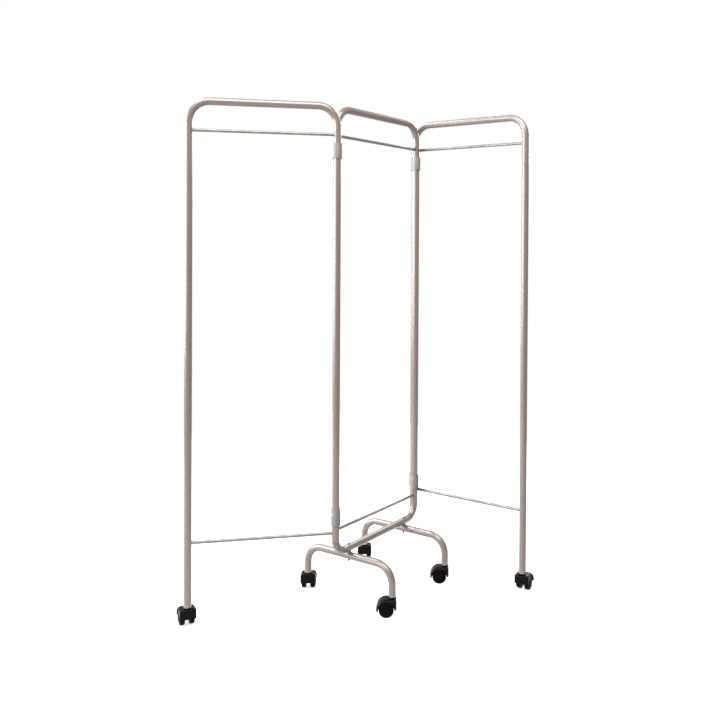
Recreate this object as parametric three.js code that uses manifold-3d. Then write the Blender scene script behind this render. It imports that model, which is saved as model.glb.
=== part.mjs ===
// A three-panel folding screen frame on twin-wheel castors: a centre panel on two legs, with a hinged wing at
// each side.
import * as THREE from "three";
import { mergeVertices } from "three/addons/utils/BufferGeometryUtils.js";
import Module from "manifold-3d";

const wasm = await Module();
wasm.setup();

// Driving dimensions in millimetres, heights from the floor
const screenHeight = 1700; // to the top of the top bars
const panelSpan = 475; // between the axes of a panel's two posts
const tubeDiameter = 25;
const tubeWall = 1.2;
const topBendRadius = 65; // on the tube's axis, like the other bends
const lowBendRadius = 52;
const lowBarHeight = 188; // axis of the centre panel's low bar
const leftPostRise = 50; // from the low bar's axis up to the lower end of each wing's inner post
const rightPostRise = 14;
const footGap = 4; // between a castor's hood and the tube that stands on the castor

// Curtain rods
const rodDiameter = 10.5;
const rodTopDrop = 93.5; // from a top bar's axis to its rod's axis
const centreLowRodRise = 80.6; // from the low bar's axis to each lower rod's axis
const leftLowRodRise = 81;
const rightLowRodRise = 97.5; // this wing's lower rod sits higher than the others
const rodEndInset = 4; // rods stop this far short of the posts' axes
const rodHolePlay = 0.6; // the holes are drilled this much larger in radius

// Legs, under the centre panel and square to it
const legSpread = 330; // between the two legs
const legLength = 368; // between the axes of a leg's two feet
const legFootRun = 37; // straight run of a leg's tube above each foot
const saddleThickness = 2; // between the low bar and the leg
const saddleRadius = 9;
const saddleHeight = 9;
const boltDiameter = 5;
const boltHeadRadius = 4.5;
const boltHeadHeight = 2.2;
const headRimShare = 0.4; // of a bolt's or screw's head height that its straight rim takes
const nutRadius = 4.6;
const nutHeight = 4;
const boltTail = 3; // how far the bolt shows below its nut

// Hinge blocks
const hingeSpacing = 29; // between the axes of a centre post and the wing's post
const blockHeight = 50;
const sleeveRadius = 16;
const blockWebWidth = 14;
const blockChamfer = 1;
const upperBlockDrop = 146.5; // from a top bar's axis to the middle of the upper blocks
const lowerBlockRise = 132; // from the low bar's axis to the middle of the lower blocks
const screwShare = 0.29; // of a block's height, from the end that faces the panel's middle
const screwAngle = -51; // in degrees, from the block's direction
const screwRadius = 2;
const screwHeadRadius = 3.6;
const screwHeadHeight = 1.8;
const screwReach = 3; // how far a screw reaches inside the tube

// Directions in the plan at rest, in degrees from +X
const leftWingAngle = 135.4;
const leftBlockAngle = 220.5;
const rightWingAngle = 269.6;
const rightBlockAngle = 44.2;
const leftLegFrontAngle = 126; // a castor's, from its stem back to its axle
const leftLegBackAngle = 35;
const rightLegFrontAngle = 122;
const rightLegBackAngle = 38;
const leftWingCastorAngle = 60;
const rightWingCastorAngle = 6;

// Castors
const wheelRadius = 25;
const wheelGap = 15.5; // between the two wheels
const rimWidth = 15.5;
const domeHeight = 4.2;
const wheelEdge = 3; // chamfer at the tread's edges
const discRadius = 21.5; // of the domed disc inside the rim
const discRecess = 0.8;
const domeRadiusShare = 0.6; // where the dome's slope changes, from its middle
const domeHeightShare = 0.75; // and how high it is there
const hubDepth = 11.5; // of the blind hole in the hub
const axleRadius = 4;
const axleEndGap = 0.6;
const castorTrail = 19.5; // from the stem's axis back to the axle
const hoodRadius = 34; // about the axle
const hoodLipRadius = 28; // the hood's side edges, about the axle
const hoodHalfWidth = 26.5;
const hoodCrownHalfWidth = 13; // where its rounded shoulders begin
const hoodFrontHeight = 26.5; // lower edge at the stem
const hoodRearHeight = 22.5; // lower edge behind the wheels
const wheelClearance = 1.2; // between the wheels and the hood over them
const webClearance = 0.5; // between the wheels and the hood's middle web
const axleBossRadius = 8.5;
const hoodFront = 15; // from the stem's axis to the hood's front wall
const hoodFrontRound = 8; // where the front wall meets the top
const hoodCornerRound = 11; // where it meets the sides
const bowlRadius = 12.5; // the recess round the stem, at its rim
const bowlFloorRadius = 9;
const bowlDepth = 9;
const stemRadius = 5;
const stemFoot = 29; // lower end of the stem in the hood
const socketDepth = 28; // of the stem's socket in the tube
const socketFlangeRadius = 12;
const socketFlange = 1.4;
const plugDepth = 18;
const plugFlange = 1.4;

// Fits and counts
const fitGap = 0.3; // between pieces that touch
const overrun = 5; // past a face that a cut goes through
const weldDistance = 1e-4;
const tubeSides = 16;
const boreSides = 8;
const holeSides = 12;
const nutSides = 6;
const bendSteps = 5;
const wheelSides = 16; // a multiple of four, so that a flat faces the floor
const hoodSides = 20; // a multiple of four, so that its top is level with the front's
const bowlSides = 16;
const shoulderSteps = 2;
const roundSteps = 2;
const arcSegments = 5; // pairs of steps round each sleeve

// Sizes that follow from them
const halfSpan = panelSpan / 2;
const tubeRadius = tubeDiameter / 2;
const boreRadius = tubeRadius - tubeWall;
const rodRadius = rodDiameter / 2;
const boltRadius = boltDiameter / 2;
const topBarHeight = screenHeight - tubeRadius;
const topRodHeight = topBarHeight - rodTopDrop;
const upperBlockHeight = topBarHeight - upperBlockDrop;
const lowerBlockHeight = lowBarHeight + lowerBlockRise;
const centreLowRodHeight = lowBarHeight + centreLowRodRise;
const leftLowRodHeight = lowBarHeight + leftLowRodRise;
const rightLowRodHeight = lowBarHeight + rightLowRodRise;
const leftPostFoot = lowBarHeight + leftPostRise;
const rightPostFoot = lowBarHeight + rightPostRise;
const footHeight = wheelRadius + hoodRadius + footGap; // lower end of every tube that stands on a castor
const legBarHeight = lowBarHeight - tubeDiameter - saddleThickness;
const legBendRadius = legBarHeight - footHeight - legFootRun;
const legInset = legSpread / 2;
const footInset = legLength / 2;
const screwOffset = blockHeight * (1 / 2 - screwShare); // from a block's middle towards the panel's
const wheelInside = wheelGap / 2;
const cavityInside = wheelInside - webClearance;

const quarterTurn = Math.PI / 2;
const radians = THREE.MathUtils.degToRad;

const colours = {
  tube: { color: 0xc9c5c0, roughness: 0.38, metalness: 0.6 },
  rod: { color: 0xd4d3d1, roughness: 0.18, metalness: 1 },
  block: { color: 0xbdb6ad, roughness: 0.5, metalness: 0 },
  steel: { color: 0xb9b7b4, roughness: 0.3, metalness: 1 },
  plug: { color: 0x1b1919, roughness: 0.5, metalness: 0 },
  hood: { color: 0x171515, roughness: 0.28, metalness: 0 },
  wheel: { color: 0x1c1a1a, roughness: 0.55, metalness: 0 },
};

// The radius of a many-sided hole whose flats clear a round piece
const around = (radius, sides) => (radius + fitGap) / Math.cos(Math.PI / sides);

// The radius of a many-sided plug that clears an equal, larger hole all round
const within = (radius, sides) => radius - fitGap / Math.cos(Math.PI / sides);

// Solids that can be joined and cut
function solidOf(geometry) {
  const bare = geometry.clone();
  bare.deleteAttribute("normal");
  bare.deleteAttribute("uv");
  const merged = mergeVertices(bare, weldDistance);
  const triVerts = new Uint32Array(merged.index.array);
  return new wasm.Manifold(
    new wasm.Mesh({ numProp: 3, vertProperties: merged.attributes.position.array, triVerts }),
  );
}

function geometryOf(solid) {
  const { vertProperties, triVerts } = solid.getMesh();
  const geometry = new THREE.BufferGeometry();
  geometry.setAttribute("position", new THREE.BufferAttribute(vertProperties, 3));
  geometry.setIndex(new THREE.BufferAttribute(triVerts, 1));
  const faceted = geometry.toNonIndexed();
  faceted.computeVertexNormals();
  return faceted;
}

function cut(geometry, tools) {
  const whole = solidOf(geometry);
  return geometryOf(tools.reduce((rest, tool) => rest.subtract(solidOf(tool)), whole));
}

function join(geometries) {
  const [first, ...others] = geometries.map(solidOf);
  return geometryOf(others.reduce((sum, other) => sum.add(other), first));
}

function common(first, second) {
  return geometryOf(solidOf(first).intersect(solidOf(second)));
}

// A round bar along +Z between two heights
function bar(radius, from, to, sides) {
  const geometry = new THREE.CylinderGeometry(radius, radius, to - from, sides);
  return geometry.rotateX(quarterTurn).translate(0, 0, (from + to) / 2);
}

const alongX = (geometry) => geometry.rotateY(quarterTurn);
const alongY = (geometry) => geometry.rotateX(-quarterTurn);

// A revolved profile of [radius, height] points about +Z, with a flat centred on +X where `flatFirst` is set
function revolve(profile, sides, flatFirst = false) {
  const points = profile.map(([radius, height]) => new THREE.Vector2(radius, height));
  const start = flatFirst ? quarterTurn + Math.PI / sides : quarterTurn;
  return new THREE.LatheGeometry(points, sides, start).rotateX(quarterTurn);
}

const polygon = (radius, sides) =>
  Array.from({ length: sides }, (_, side) => {
    const angle = (side / sides) * 2 * Math.PI;
    return new THREE.Vector2(radius * Math.cos(angle), radius * Math.sin(angle));
  });

// A route of straight runs and round bends. It has a ring at each end of a run and at even steps round each bend.
class BentRoute extends THREE.Curve {
  constructor(corners, bendRadii, closed = false) {
    super();
    this.stations = [];
    const count = corners.length;
    corners.forEach((corner, index) => {
      const before = corners[(index + count - 1) % count];
      const after = corners[(index + 1) % count];
      const arriving = corner.clone().sub(before).normalize();
      const leaving = after.clone().sub(corner).normalize();
      if (!closed && index === 0) this.addStation(corner, leaving);
      else if (!closed && index === count - 1) this.addStation(corner, arriving);
      else this.addBend(corner, arriving, leaving, bendRadii[index]);
    });
    this.rings = closed ? this.stations.length : this.stations.length - 1;
  }

  addStation(point, tangent) {
    this.stations.push({ point: point.clone(), tangent: tangent.clone() });
  }

  addBend(corner, arriving, leaving, radius) {
    const angle = arriving.angleTo(leaving);
    const inward = leaving.clone().addScaledVector(arriving, -leaving.dot(arriving)).normalize();
    const start = corner.clone().addScaledVector(arriving, -radius * Math.tan(angle / 2));
    const centre = start.clone().addScaledVector(inward, radius);
    for (let step = 0; step <= bendSteps; step += 1) {
      const turned = (angle * step) / bendSteps;
      const sine = Math.sin(turned);
      const cosine = Math.cos(turned);
      const point = centre.clone().addScaledVector(inward, -radius * cosine).addScaledVector(arriving, radius * sine);
      this.addStation(point, arriving.clone().multiplyScalar(cosine).addScaledVector(inward, sine));
    }
  }

  stationAt(share) {
    return this.stations[Math.round(share * this.rings) % this.stations.length];
  }

  getPointAt(share, target = new THREE.Vector3()) {
    return target.copy(this.stationAt(share).point);
  }

  getTangentAt(share, target = new THREE.Vector3()) {
    return target.copy(this.stationAt(share).tangent);
  }
}

// A hollow tube along an open route, with open ends
function openTube(route) {
  const section = new THREE.Shape(polygon(tubeRadius, tubeSides));
  section.holes.push(new THREE.Path(polygon(boreRadius, boreSides)));
  return new THREE.ExtrudeGeometry(section, { steps: route.rings, extrudePath: route });
}

// A hollow tube round a closed route, whose bore opens where it is drilled
function ringTube(route) {
  const outside = new THREE.TubeGeometry(route, route.rings, tubeRadius, tubeSides, true);
  const inside = new THREE.TubeGeometry(route, route.rings, boreRadius, boreSides, true);
  return cut(outside, [inside]);
}

const corner = (x, z) => new THREE.Vector3(x, 0, z);

// The hole in a post's inner wall for a rod's end, on the side of the post that `side` gives along X
function rodHole(postX, side, height) {
  const radius = around(rodRadius + rodHolePlay, holeSides);
  const hole = alongX(bar(radius, 0, tubeRadius + overrun, holeSides));
  if (side < 0) hole.rotateZ(Math.PI);
  return hole.translate(postX, 0, height + rodHolePlay);
}

function rod(fromX, toX, height) {
  return alongX(bar(rodRadius, fromX + rodEndInset, toX - rodEndInset, holeSides)).translate(0, 0, height);
}

// A screw's hole through a wall out to `reach`, from a post's axis towards `angle` degrees
function screwHole(reach, angle, height) {
  const hole = alongX(bar(around(screwRadius, holeSides), 0, reach, holeSides));
  return hole.rotateZ(radians(angle)).translate(0, 0, height);
}

const boltHole = (from, to) => bar(around(boltRadius, holeSides), from, to, holeSides);

// Centre panel
function centreFrame() {
  const corners = [
    corner(-halfSpan, lowBarHeight),
    corner(-halfSpan, topBarHeight),
    corner(halfSpan, topBarHeight),
    corner(halfSpan, lowBarHeight),
  ];
  const radii = [lowBendRadius, topBendRadius, topBendRadius, lowBendRadius];
  const holes = [centreLowRodHeight, topRodHeight].flatMap((height) => [
    rodHole(-halfSpan, 1, height),
    rodHole(halfSpan, -1, height),
  ]);
  const reach = tubeRadius + overrun;
  const bolts = [-legInset, legInset].map((x) =>
    boltHole(lowBarHeight - reach, lowBarHeight + reach).translate(x, 0, 0),
  );
  return cut(ringTube(new BentRoute(corners, radii, true)), [...holes, ...bolts]);
}

// One leg, in the plane x = 0
function leg() {
  const corners = [
    corner(-footInset, footHeight),
    corner(-footInset, legBarHeight),
    corner(footInset, legBarHeight),
    corner(footInset, footHeight),
  ];
  const radii = [0, legBendRadius, legBendRadius, 0];
  const tube = openTube(new BentRoute(corners, radii)).rotateZ(quarterTurn);
  const reach = tubeRadius + overrun;
  return cut(tube, [boltHole(legBarHeight - reach, legBarHeight + reach)]);
}

// The spacer that fits the round of the low bar above it and of the leg below it
function saddle() {
  const middle = (lowBarHeight + legBarHeight) / 2;
  const blank = bar(saddleRadius, middle - saddleHeight / 2, middle + saddleHeight / 2, tubeSides);
  const seatRadius = around(tubeRadius, tubeSides);
  const seat = () => bar(seatRadius, -tubeDiameter, tubeDiameter, tubeSides);
  return cut(blank, [
    alongX(seat()).translate(0, 0, lowBarHeight),
    alongY(seat()).translate(0, 0, legBarHeight),
    boltHole(legBarHeight, lowBarHeight),
  ]);
}

function bolt() {
  const seat = lowBarHeight + tubeRadius + fitGap;
  const tip = legBarHeight - tubeRadius - fitGap - nutHeight - boltTail;
  return revolve(
    [
      [0, tip],
      [boltRadius, tip],
      [boltRadius, seat],
      [boltHeadRadius, seat],
      [boltHeadRadius, seat + boltHeadHeight * headRimShare],
      [0, seat + boltHeadHeight],
    ],
    holeSides,
  );
}

function nut() {
  const top = legBarHeight - tubeRadius - fitGap;
  const bottom = top - nutHeight;
  const blank = bar(nutRadius, bottom, top, nutSides);
  return cut(blank, [boltHole(bottom - overrun, top + overrun)]);
}

// One wing's frame, with its inner post at x = 0 down to `postFoot` and its outer post at x = panelSpan. Its screws
// face `facing` degrees.
function wingFrame(postFoot, lowRodHeight, facing) {
  const corners = [
    corner(0, postFoot),
    corner(0, topBarHeight),
    corner(panelSpan, topBarHeight),
    corner(panelSpan, footHeight),
  ];
  const radii = [0, topBendRadius, topBendRadius, 0];
  return cut(openTube(new BentRoute(corners, radii)), [
    rodHole(0, 1, topRodHeight),
    rodHole(panelSpan, -1, topRodHeight),
    rodHole(0, 1, lowRodHeight),
    rodHole(panelSpan, -1, lowRodHeight),
    screwHole(tubeRadius + overrun, facing, upperBlockHeight - screwOffset),
    screwHole(tubeRadius + overrun, facing, lowerBlockHeight + screwOffset),
  ]);
}

// The plug in the lower end of a wing's inner post
function postPlug(postFoot) {
  const radius = within(boreRadius, boreSides);
  const flangeTop = postFoot - fitGap;
  return revolve(
    [
      [0, flangeTop - plugFlange],
      [tubeRadius, flangeTop - plugFlange],
      [tubeRadius, flangeTop],
      [radius, flangeTop],
      [radius, postFoot + plugDepth],
      [0, postFoot + plugDepth],
    ],
    boreSides,
  );
}

// A double sleeve, with the centre post's sleeve at the origin and the wing post's at +X, about the height 0
function hingeBlock(screwHeight) {
  const waist = Math.asin(blockWebWidth / 2 / sleeveRadius);
  const outline = new THREE.Shape();
  outline.absarc(0, 0, sleeveRadius, waist, 2 * Math.PI - waist);
  outline.absarc(hingeSpacing, 0, sleeveRadius, Math.PI + waist, 3 * Math.PI - waist);
  const block = new THREE.ExtrudeGeometry(outline, {
    depth: blockHeight - 2 * blockChamfer,
    curveSegments: arcSegments,
    bevelThickness: blockChamfer,
    bevelSize: blockChamfer,
    bevelOffset: -blockChamfer,
    bevelSegments: 1,
  });
  block.translate(0, 0, blockChamfer - blockHeight / 2);
  const hole = screwHole(sleeveRadius + overrun, screwAngle, screwHeight).translate(hingeSpacing, 0, 0);
  const bores = [0, hingeSpacing].map((x) =>
    bar(around(tubeRadius, tubeSides), -blockHeight, blockHeight, tubeSides).translate(x, 0, 0),
  );
  return cut(block, [...bores, hole]);
}

// A block's screw, along +X from the post's axis
function blockScrew() {
  const seat = sleeveRadius + fitGap;
  const tip = boreRadius - screwReach;
  return alongX(
    revolve(
      [
        [0, tip],
        [screwRadius, tip],
        [screwRadius, seat],
        [screwHeadRadius, seat],
        [screwHeadRadius, seat + screwHeadHeight * headRimShare],
        [0, seat + screwHeadHeight],
      ],
      holeSides,
    ),
  );
}

// Castor pieces, with the stem's axis on +Z and the axle trailing towards +X
function castorStem() {
  const plugRadius = within(boreRadius, boreSides);
  const flangeTop = footHeight - fitGap;
  return revolve(
    [
      [0, stemFoot],
      [stemRadius, stemFoot],
      [stemRadius, flangeTop - socketFlange],
      [socketFlangeRadius, flangeTop - socketFlange],
      [socketFlangeRadius, flangeTop],
      [plugRadius, flangeTop],
      [plugRadius, footHeight + socketDepth],
      [0, footHeight + socketDepth],
    ],
    boreSides,
  );
}

// About the axle's axis, which `onAxle` turns from +Z to +Y and sets in its place
const onAxle = (geometry) => alongY(geometry).translate(castorTrail, 0, wheelRadius);

// The hood's outline from one side edge over the crown to the other, as [radius about the axle, place along it]
function hoodShoulders() {
  const shoulder = Array.from({ length: shoulderSteps + 1 }, (_, step) => {
    const angle = (step / shoulderSteps) * quarterTurn;
    const radius = hoodLipRadius + (hoodRadius - hoodLipRadius) * Math.cos(angle);
    return [radius, hoodCrownHalfWidth + (hoodHalfWidth - hoodCrownHalfWidth) * Math.sin(angle)];
  });
  const farShoulder = shoulder.map(([radius, width]) => [radius, -width]).reverse();
  return [...farShoulder, ...shoulder];
}

// The hood's round back, about the axle
const hoodBarrel = () => onAxle(revolve([[0, -hoodHalfWidth], ...hoodShoulders(), [0, hoodHalfWidth]], hoodSides));

// The same outline carried straight forward from above the axle to the front wall
function hoodBlock() {
  const outline = [[0, -hoodHalfWidth], ...hoodShoulders(), [0, hoodHalfWidth]];
  const shape = new THREE.Shape(outline.map(([radius, width]) => new THREE.Vector2(-radius, width)));
  const block = new THREE.ExtrudeGeometry(shape, { depth: castorTrail + hoodFront, bevelEnabled: false });
  return alongX(block).translate(-hoodFront, 0, wheelRadius);
}

// Points round a corner of `radius` about its centre, from `from` to `to` quarter turns
const cornerRound = (x, y, radius, from, to) =>
  Array.from({ length: roundSteps + 1 }, (_, step) => {
    const angle = (from + ((to - from) * step) / roundSteps) * quarterTurn;
    return new THREE.Vector2(x + radius * Math.cos(angle), y + radius * Math.sin(angle));
  });

// The space from the hood's lower edge, which runs down a little towards the rear, to its rounded front
function hoodSpace() {
  const rear = castorTrail + hoodRadius + overrun;
  const top = wheelRadius + hoodRadius;
  const outline = new THREE.Shape([
    new THREE.Vector2(-hoodFront, hoodFrontHeight),
    new THREE.Vector2(rear, hoodRearHeight),
    new THREE.Vector2(rear, top),
    ...cornerRound(hoodFrontRound - hoodFront, top - hoodFrontRound, hoodFrontRound, 1, 2),
  ]);
  const width = 2 * hoodHalfWidth + 2 * overrun;
  const block = new THREE.ExtrudeGeometry(outline, { depth: width, bevelEnabled: false });
  return block.rotateX(quarterTurn).translate(0, width / 2, 0);
}

// The hood's plan, with rounded corners at the front
function hoodPlan() {
  const rear = castorTrail + hoodRadius + overrun;
  const cornerX = hoodCornerRound - hoodFront;
  const cornerY = hoodHalfWidth - hoodCornerRound;
  const outline = new THREE.Shape([
    ...cornerRound(cornerX, cornerY, hoodCornerRound, 1, 2),
    ...cornerRound(cornerX, -cornerY, hoodCornerRound, 2, 3),
    new THREE.Vector2(rear, -hoodHalfWidth),
    new THREE.Vector2(rear, hoodHalfWidth),
  ]);
  const height = wheelRadius + hoodRadius + overrun;
  return new THREE.ExtrudeGeometry(outline, { depth: height, bevelEnabled: false });
}

function castorHood() {
  const outside = common(join([hoodBarrel(), hoodBlock()]), hoodSpace());
  const boss = onAxle(bar(axleBossRadius, -cavityInside, cavityInside, holeSides));
  const treadRadius = wheelRadius / Math.cos(Math.PI / wheelSides);
  const cavityRadius = (treadRadius + wheelClearance) / Math.cos(Math.PI / hoodSides);
  const cavityEnd = hoodHalfWidth + overrun;
  const top = wheelRadius + hoodRadius;
  const bowl = revolve(
    [
      [0, top - bowlDepth],
      [bowlFloorRadius, top - bowlDepth],
      [bowlRadius, top],
      [bowlRadius, top + overrun],
      [0, top + overrun],
    ],
    bowlSides,
  );
  return cut(join([common(outside, hoodPlan()), boss]), [
    onAxle(bar(cavityRadius, cavityInside, cavityEnd, hoodSides)),
    onAxle(bar(cavityRadius, -cavityEnd, -cavityInside, hoodSides)),
    onAxle(bar(around(axleRadius, holeSides), -cavityEnd, cavityEnd, holeSides)),
    bar(around(stemRadius, boreSides), stemFoot - fitGap, top, boreSides),
    bowl,
  ]);
}

function castorAxle() {
  const end = wheelInside + hubDepth - axleEndGap;
  return onAxle(bar(axleRadius, -end, end, holeSides));
}

// One wheel outside the hood's web, with a flat of its tread facing the floor
function castorWheel(side) {
  const treadRadius = wheelRadius / Math.cos(Math.PI / wheelSides);
  const bore = around(axleRadius, holeSides);
  const outside = wheelInside + rimWidth;
  const profile = [
    [0, wheelInside],
    [treadRadius - wheelEdge, wheelInside],
    [treadRadius, wheelInside + wheelEdge],
    [treadRadius, outside - wheelEdge],
    [treadRadius - wheelEdge, outside],
    [discRadius, outside],
    [discRadius, outside - discRecess],
    [discRadius * domeRadiusShare, outside + domeHeight * domeHeightShare],
    [0, outside + domeHeight],
  ];
  const blank = revolve(profile, wheelSides, true);
  const wheel = cut(blank, [bar(bore, wheelInside - overrun, wheelInside + hubDepth, holeSides)]);
  if (side < 0) wheel.rotateX(Math.PI);
  return onAxle(wheel);
}

function piece(parent, name, geometry, colour) {
  const mesh = new THREE.Mesh(geometry, new THREE.MeshStandardMaterial(colour));
  mesh.name = name;
  parent.add(mesh);
  return mesh;
}

function group(parent, x, y, angle = 0) {
  const made = new THREE.Group();
  made.position.set(x, y, 0);
  made.rotation.z = radians(angle);
  parent.add(made);
  return made;
}

// A castor under the tube at x, y of `parent`, trailing in a direction that is given in the parent's own frame
function addCastor(parent, name, x, y, trailAngle) {
  const foot = group(parent, x, y);
  piece(foot, `${name}_stem`, castorStem(), colours.plug);
  const swivel = group(foot, 0, 0, trailAngle);
  piece(swivel, `${name}_hood`, castorHood(), colours.hood);
  piece(swivel, `${name}_axle`, castorAxle(), colours.steel);
  piece(swivel, `${name}_wheel_1`, castorWheel(1), colours.wheel);
  piece(swivel, `${name}_wheel_2`, castorWheel(-1), colours.wheel);
}

function addLeg(parent, name, x, frontAngle, backAngle) {
  const place = group(parent, x, 0);
  piece(place, name, leg(), colours.tube);
  piece(place, `${name}_saddle`, saddle(), colours.plug);
  piece(place, `${name}_bolt`, bolt(), colours.steel);
  piece(place, `${name}_nut`, nut(), colours.steel);
  addCastor(place, `${name}_front`, 0, -footInset, frontAngle);
  addCastor(place, `${name}_back`, 0, footInset, backAngle);
}

function addBlock(parent, name, height, screwHeight) {
  const block = piece(parent, `${name}_block`, hingeBlock(screwHeight), colours.block);
  block.position.z = height;
  const screw = piece(parent, `${name}_screw`, blockScrew(), colours.steel);
  screw.position.set(hingeSpacing, 0, height + screwHeight);
  screw.rotation.z = radians(screwAngle);
}

// A wing beside the centre post at `postX`, with its hinge blocks and its castor
function addWing(parent, name, postX, angles, postFoot, lowRodHeight) {
  const hinge = group(parent, postX, 0, angles.block);
  addBlock(hinge, `${name}_upper`, upperBlockHeight, -screwOffset);
  addBlock(hinge, `${name}_lower`, lowerBlockHeight, screwOffset);
  const panel = group(hinge, hingeSpacing, 0, angles.wing - angles.block);
  const facing = angles.block + screwAngle - angles.wing;
  piece(panel, `${name}_frame`, wingFrame(postFoot, lowRodHeight, facing), colours.tube);
  piece(panel, `${name}_top_rod`, rod(0, panelSpan, topRodHeight), colours.rod);
  piece(panel, `${name}_low_rod`, rod(0, panelSpan, lowRodHeight), colours.rod);
  piece(panel, `${name}_post_plug`, postPlug(postFoot), colours.plug);
  addCastor(panel, name, panelSpan, 0, angles.castor - angles.wing);
}

function buildScreen() {
  const screen = new THREE.Group();
  piece(screen, "centre_frame", centreFrame(), colours.tube);
  piece(screen, "centre_top_rod", rod(-halfSpan, halfSpan, topRodHeight), colours.rod);
  piece(screen, "centre_low_rod", rod(-halfSpan, halfSpan, centreLowRodHeight), colours.rod);
  addLeg(screen, "left_leg", -legInset, leftLegFrontAngle, leftLegBackAngle);
  addLeg(screen, "right_leg", legInset, rightLegFrontAngle, rightLegBackAngle);
  const left = { wing: leftWingAngle, block: leftBlockAngle, castor: leftWingCastorAngle };
  const right = { wing: rightWingAngle, block: rightBlockAngle, castor: rightWingCastorAngle };
  addWing(screen, "left_wing", -halfSpan, left, leftPostFoot, leftLowRodHeight);
  addWing(screen, "right_wing", halfSpan, right, rightPostFoot, rightLowRodHeight);
  return screen;
}

// The origin is on the floor under the middle of the whole screen's box
function centred(screen) {
  const box = new THREE.Box3().setFromObject(screen, true);
  const middle = box.getCenter(new THREE.Vector3());
  screen.position.set(-middle.x, -middle.y, -box.min.z);
  return new THREE.Group().add(screen);
}

export default centred(buildScreen());
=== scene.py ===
"""A three-panel folding screen frame on twin-wheel castors, dressed over its solid model.

Lengths are in millimetres until a piece's points go into its mesh, in metres. Directions in the plan, the
camera's turn, lean and roll, and SHARP_ANGLE are in degrees. FULL_TURN, QUARTER_TURN and the angles inside
the formulas are in radians.

A shape is a pair: an array of points, and a list of arrays of faces that hold the points' numbers.
"""
import math

import bmesh
import bpy
import numpy as np
from mathutils import Matrix, Vector


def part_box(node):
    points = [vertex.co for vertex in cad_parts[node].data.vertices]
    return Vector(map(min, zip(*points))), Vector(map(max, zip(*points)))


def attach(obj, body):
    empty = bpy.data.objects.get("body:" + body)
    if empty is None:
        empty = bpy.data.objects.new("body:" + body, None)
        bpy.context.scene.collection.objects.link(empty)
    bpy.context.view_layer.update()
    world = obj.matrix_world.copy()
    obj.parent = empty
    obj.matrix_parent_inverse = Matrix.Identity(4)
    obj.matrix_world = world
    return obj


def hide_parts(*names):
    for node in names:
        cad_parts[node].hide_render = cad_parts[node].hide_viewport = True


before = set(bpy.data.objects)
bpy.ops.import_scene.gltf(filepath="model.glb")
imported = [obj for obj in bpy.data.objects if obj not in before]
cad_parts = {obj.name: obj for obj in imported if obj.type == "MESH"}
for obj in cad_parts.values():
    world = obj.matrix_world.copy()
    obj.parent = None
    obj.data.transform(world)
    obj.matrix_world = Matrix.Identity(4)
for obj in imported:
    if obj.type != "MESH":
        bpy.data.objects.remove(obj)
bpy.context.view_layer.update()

METRES = 0.001
FULL_TURN = 2 * math.pi
QUARTER_TURN = math.pi / 2

# The frame's tubes
SCREEN_HEIGHT = 1700.0
PANEL_SPAN = 475.0
TUBE_RADIUS = 12.5
TUBE_WALL = 1.2
TOP_BEND = 65.0
LOW_BEND = 52.0
LOW_BAR_HEIGHT = 188.0
LEFT_POST_FOOT = 238.0
RIGHT_POST_FOOT = 202.0
LEG_SPREAD = 330.0
LEG_LENGTH = 368.0
LEG_FOOT_RUN = 37.0
FOOT_BAND = 9.0
FOOT_BAND_EDGE = 0.6

# Curtain rods
ROD_RADIUS = 5.25
ROD_TOP_DROP = 93.5
CENTRE_LOW_ROD = 268.6
LEFT_LOW_ROD = 269.0
RIGHT_LOW_ROD = 285.5
ROD_END_INSET = 4.0
ROD_END_EASE = 0.6
ROD_HOLE_PLAY = 0.6
ROD_HOLE_REACH = 16.0

# Leg bolts and their spacers
SADDLE_THICKNESS = 2.0
SADDLE_RADIUS = 9.0
SADDLE_HEIGHT = 9.0
BOLT_RADIUS = 2.5
BOLT_HEAD_RADIUS = 4.5
BOLT_HEAD_HEIGHT = 2.2
BOLT_SOCKET_HALF_WIDTH = 1.5
BOLT_TAIL = 3.0
NUT_RADIUS = 4.6
NUT_HEIGHT = 4.0
NUT_CHAMFER = 0.6
THREAD_PITCH = 0.8
THREAD_DEPTH = 0.35
HEXAGON_SIDES = 6

# Hinge blocks and their screws
HINGE_SPACING = 29.0
BLOCK_HEIGHT = 50.0
SLEEVE_RADIUS = 16.0
BLOCK_WEB_WIDTH = 14.0
BLOCK_EDGE = 1.0
BLOCK_BORE_EASE = 0.4
UPPER_BLOCK_HEIGHT = 1541.0
LOWER_BLOCK_HEIGHT = 320.0
SCREW_OFFSET = 10.5
SCREW_TURN = -51.0
SCREW_RADIUS = 2.0
SCREW_REACH = 3.0
SCREW_HEAD_RADIUS = 3.6
SCREW_HEAD_HEIGHT = 1.8
SCREW_CROSS_HALF_WIDTH = 0.5
SCREW_CROSS_REACH = 2.0
HEAD_RIM_SHARE = 0.4
HEAD_CROWN_SHARE = 0.8
RECESS_FLOOR_SHARE = 0.3

# Directions in the plan at rest, from +X
LEG_TURN = 90.0
LEFT_WING_TURN = 135.4
LEFT_BLOCK_TURN = 220.5
RIGHT_WING_TURN = 269.6
RIGHT_BLOCK_TURN = 44.2
LEFT_LEG_FRONT_TURN = 126.0
LEFT_LEG_BACK_TURN = 35.0
RIGHT_LEG_FRONT_TURN = 122.0
RIGHT_LEG_BACK_TURN = 38.0
LEFT_WING_CASTOR_TURN = 60.0
RIGHT_WING_CASTOR_TURN = 6.0

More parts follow.
